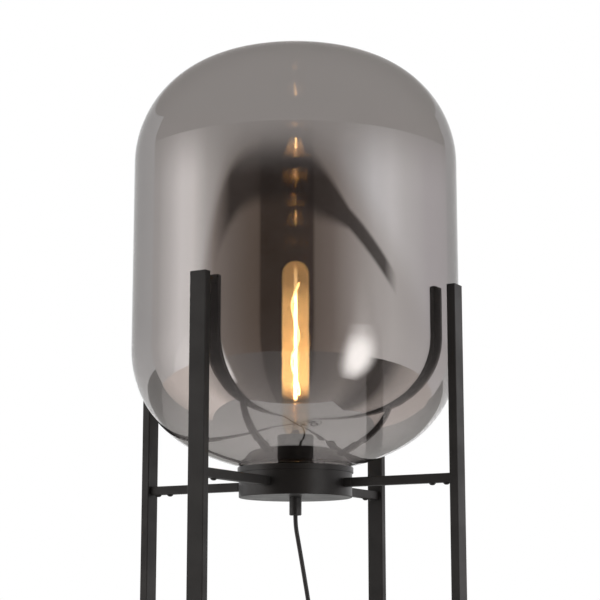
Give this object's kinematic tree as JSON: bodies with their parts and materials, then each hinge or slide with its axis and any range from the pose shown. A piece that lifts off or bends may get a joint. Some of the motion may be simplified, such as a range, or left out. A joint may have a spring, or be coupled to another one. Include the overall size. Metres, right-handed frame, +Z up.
{
  "type": "floor lamp",
  "caption": "Floor lamp: a tall round-ended smoked mirror glass shade stands on a round canister that cross bars carry between upright legs.",
  "frame": {"origin": "on the floor, under the axis of the glass shade", "axes": "+Z up along the shade's axis; the legs stand at -Y (front), +X (right), +Y (rear) and -X (left)"},
  "size_m": [0.416, 0.416, 1.5],
  "materials": {
    "black_frame": "satin black powder coat",
    "black_canister": "satin black paint, slightly smoother than the legs",
    "smoked_glass": "smoked glass with a half-mirror coat, high gloss",
    "lamp_glass": "clear lamp glass, high gloss",
    "filament": "warm glowing filament",
    "brass_cap": "thin rolled brass",
    "black_plastic": "fine-grained moulded plastic",
    "holder_porcelain": "glazed insulating body",
    "zinc_steel": "zinc-plated steel",
    "soft_rubber": "matt rubber",
    "cord_sheath": "smooth black sheath",
    "wire_insulation": "coloured insulation",
    "plug_pins_metal": "nickel-plated brass",
    "clear_seat": "soft clear ring"
  },
  "bodies": {
    "stand": {"bar_root_stumps": "black_frame", "canister_drum": "black_canister", "canister_lid": "black_canister", "coil_tie": "soft_rubber", "cord_coil": "cord_sheath", "cord_drop": "cord_sheath", "cord_floor_run": "cord_sheath", "cord_gland": "black_plastic", "cord_sheath_end": "cord_sheath", "cord_tail": "cord_sheath", "foot_glides": "soft_rubber", "foot_switch_base": "black_plastic", "foot_switch_contact_block": "holder_porcelain", "foot_switch_cover": "black_plastic", "foot_switch_screws": "zinc_steel", "foot_switch_wires": "wire_insulation", "gland_clamp_screw": "black_plastic", "gland_threaded_tube": "zinc_steel", "gland_washer": "zinc_steel", "inner_wires": "wire_insulation", "lampholder_body": "holder_porcelain", "lampholder_centre_contact": "brass_cap", "lampholder_screw_shell": "brass_cap", "lampholder_side_contact": "brass_cap", "lampholder_sleeve": "black_plastic", "lampholder_threaded_tube": "zinc_steel", "leg_front": "black_frame", "leg_left": "black_frame", "leg_rear": "black_frame", "leg_right": "black_frame", "leg_top_caps": "black_frame", "lid_lugs": "black_canister", "lid_screws": "zinc_steel", "lower_bar_front": "black_frame", "lower_bar_long": "black_frame", "lower_bar_rear": "black_frame", "lower_joint_screws": "black_frame", "lower_joint_stubs": "black_frame", "plug_body": "black_plastic", "plug_pins": "plug_pins_metal", "plug_strain_relief": "soft_rubber", "seat_ring": "clear_seat", "threaded_tube_nuts": "zinc_steel", "upper_bar_front": "black_frame", "upper_bar_left": "black_frame", "upper_bar_rear": "black_frame", "upper_bar_right": "black_frame", "upper_joint_screws": "black_frame", "upper_joint_stubs": "black_frame"},
    "shade": {"glass_shade": "smoked_glass"},
    "bulb": {"bulb_cap": "brass_cap", "bulb_filament": "filament", "bulb_glass": "lamp_glass", "bulb_insulator": "black_plastic", "bulb_stem": "lamp_glass", "bulb_supports": "zinc_steel", "bulb_tip_contact": "zinc_steel"},
    "switch_button": {"foot_switch_button": "black_plastic"}
  },
  "joints": [
    {"name": "shade_lift", "type": "slide", "parent": "stand", "child": "shade", "axis": [0, 0, 1], "range_m": [0, 0.26]},
    {"name": "bulb_lift", "type": "slide", "parent": "stand", "child": "bulb", "axis": [0, 0, 1], "range_m": [0, 0.03]},
    {"name": "switch_press", "type": "slide", "parent": "stand", "child": "switch_button", "axis": [0, 0, -1], "range_m": [0, 0.0025], "stiffness_N_per_m": 1500}
  ]
}
